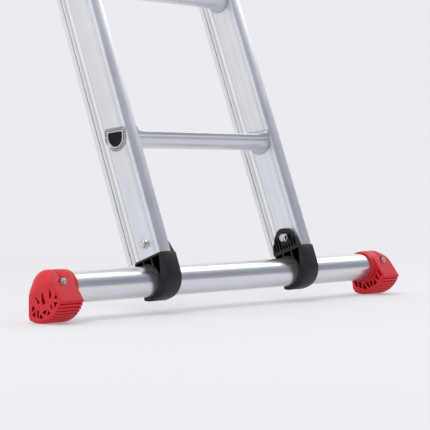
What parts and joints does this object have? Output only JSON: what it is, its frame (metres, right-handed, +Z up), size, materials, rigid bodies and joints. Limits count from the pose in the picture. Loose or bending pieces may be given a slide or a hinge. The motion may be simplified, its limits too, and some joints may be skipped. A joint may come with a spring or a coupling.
{
  "type": "extension ladder",
  "caption": "Aluminium extension ladder, leaning with its fly section raised, on a round stabiliser bar with moulded clamps and ribbed rocker feet.",
  "frame": {"origin": "on the floor, midway across the ladder and midway between the toes of the feet and the rear of the fly's top", "axes": "+X across the ladder to the climber's right, +Y away from the climber, the way the ladder leans, +Z up"},
  "size_m": [0.883, 1.2512, 3.0164],
  "materials": {
    "stile_aluminium": "extruded, satin",
    "rung_aluminium": "extruded, satin",
    "bar_aluminium": "drawn tube, smooth",
    "zinc_steel": "zinc plated",
    "hook_steel": "zinc plated plate",
    "charcoal_plastic": "moulded, satin",
    "red_plastic": "moulded, fine grain"
  },
  "bodies": {
    "base": {"stabiliser_bar": "bar_aluminium", "left_foot": "red_plastic", "right_foot": "red_plastic", "foot_screws": "zinc_steel", "left_clamp": "charcoal_plastic", "right_clamp": "charcoal_plastic", "clamp_bolts": "zinc_steel", "clamp_nuts": "zinc_steel", "base_left_stile": "stile_aluminium", "base_right_stile": "stile_aluminium", "base_rung_1": "rung_aluminium", "base_rung_2": "rung_aluminium", "base_rung_3": "rung_aluminium", "base_rung_4": "rung_aluminium", "base_rung_5": "rung_aluminium", "base_rung_6": "rung_aluminium", "base_rung_7": "rung_aluminium", "base_rung_8": "rung_aluminium", "base_rung_plugs": "charcoal_plastic", "base_left_cap": "charcoal_plastic", "base_right_cap": "charcoal_plastic", "base_left_guide": "charcoal_plastic", "base_right_guide": "charcoal_plastic", "base_guide_rivets": "zinc_steel"},
    "fly": {"fly_left_stile": "stile_aluminium", "fly_right_stile": "stile_aluminium", "fly_rung_1": "rung_aluminium", "fly_rung_2": "rung_aluminium", "fly_rung_3": "rung_aluminium", "fly_rung_4": "rung_aluminium", "fly_rung_5": "rung_aluminium", "fly_rung_6": "rung_aluminium", "fly_rung_7": "rung_aluminium", "fly_rung_8": "rung_aluminium", "fly_rung_plugs": "charcoal_plastic", "fly_left_top_cap": "charcoal_plastic", "fly_right_top_cap": "charcoal_plastic", "fly_left_end_cap": "charcoal_plastic", "fly_right_end_cap": "charcoal_plastic", "fly_left_guide": "charcoal_plastic", "fly_right_guide": "charcoal_plastic", "fly_guide_rivets": "zinc_steel", "left_hook_pin": "hook_steel", "right_hook_pin": "hook_steel"},
    "left_hook": {"left_hook": "hook_steel"},
    "right_hook": {"right_hook": "hook_steel"}
  },
  "joints": [
    {"name": "fly_slide", "type": "slide", "parent": "base", "child": "fly", "axis": [0, 0.3535, 0.9354], "range_m": [-0.84, 0.28]},
    {"name": "left_hook_pivot", "type": "hinge", "parent": "fly", "child": "left_hook", "pos_m": [-0.1422, -0.14557, 1.09516], "axis": [1, 0, 0], "range_deg": [0, 120]},
    {"name": "right_hook_pivot", "type": "hinge", "parent": "fly", "child": "right_hook", "pos_m": [0.1422, -0.14557, 1.09516], "axis": [1, 0, 0], "range_deg": [0, 120]}
  ]
}
